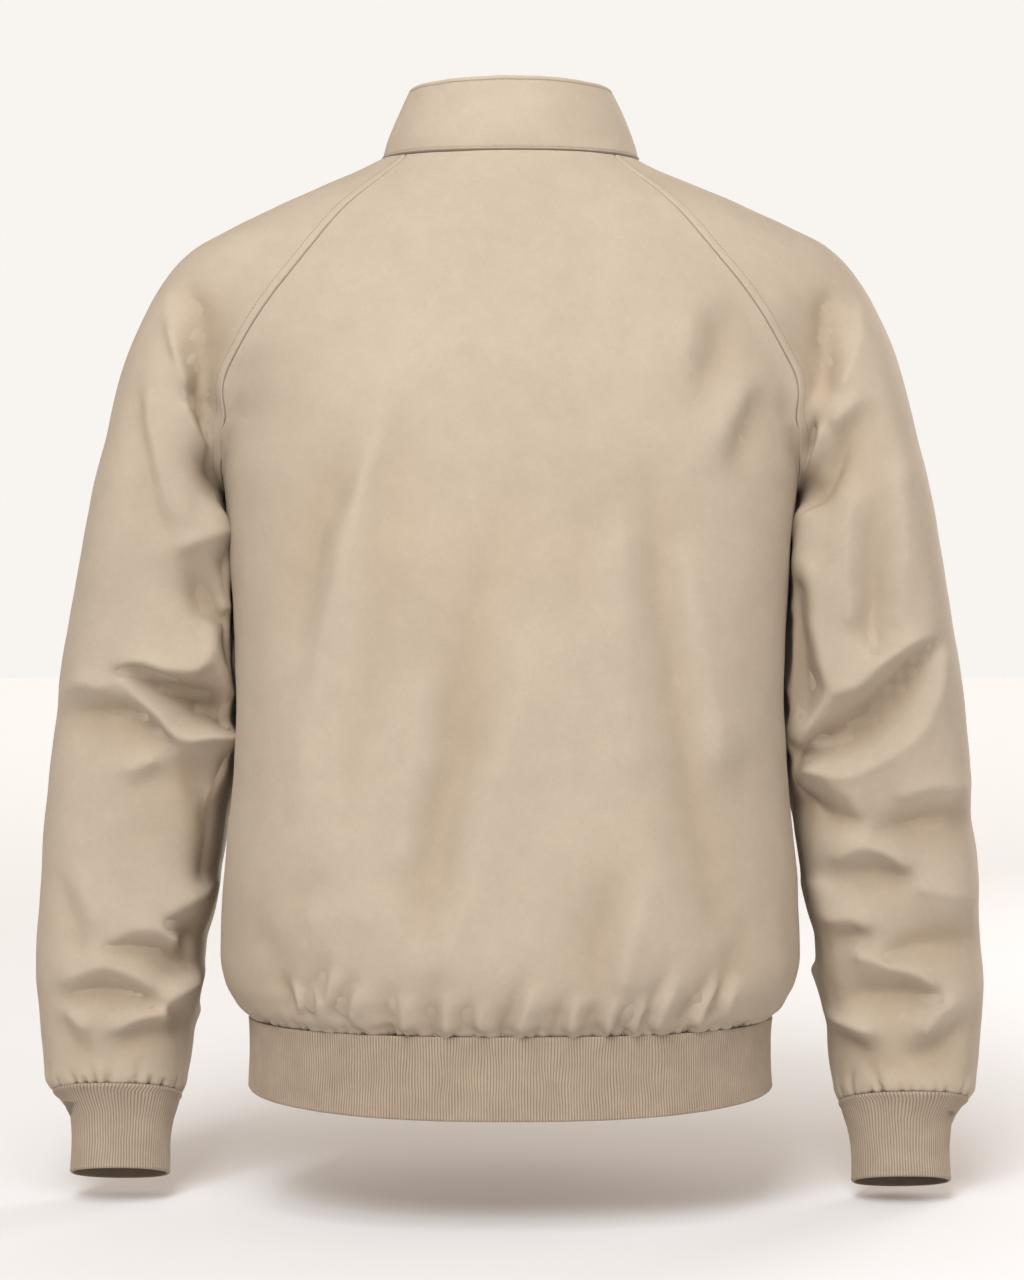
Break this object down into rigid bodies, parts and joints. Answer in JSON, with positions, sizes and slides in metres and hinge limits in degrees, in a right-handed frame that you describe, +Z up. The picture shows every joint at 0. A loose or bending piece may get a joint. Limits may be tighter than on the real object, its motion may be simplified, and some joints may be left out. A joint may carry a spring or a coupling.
{
  "type": "harrington jacket",
  "caption": "Zip-front raglan jacket with a stand collar and rib knit hem and cuffs, filled out as if worn, hollow, with sleeves hanging at the sides.",
  "frame": {"origin": "middle of the neck opening, level with the collar seam at the centre back, where a wearer's neck and shoulders hold the jacket", "axes": "+Z up; the front of the jacket faces -Y and its back +Y; +X is the wearer's left"},
  "size_m": [0.6878, 0.3071, 0.7929],
  "materials": {
    "cotton": "matt cotton twill, beige",
    "rib_knit": "fine rib knit, darker beige",
    "zip_tape": "woven tape, beige",
    "zip_metal": "satin antique brass"
  },
  "bodies": {
    "jacket": {"back": "cotton", "front_left": "cotton", "front_right": "cotton", "sleeve_left": "cotton", "sleeve_right": "cotton", "collar": "cotton", "hem_rib": "rib_knit", "cuff_left": "rib_knit", "cuff_right": "rib_knit", "zip_tape_left": "zip_tape", "zip_tape_right": "zip_tape", "zip_chain": "zip_metal", "zip_slider": "zip_metal", "zip_box": "zip_metal"},
    "pull_tab": {"zip_pull": "zip_metal"}
  },
  "joints": [
    {"name": "pull_swing", "type": "hinge", "parent": "jacket", "child": "pull_tab", "pos_m": [0, -0.06947, -0.01211], "axis": [-1, 0, 0], "range_deg": [0, 160]}
  ]
}
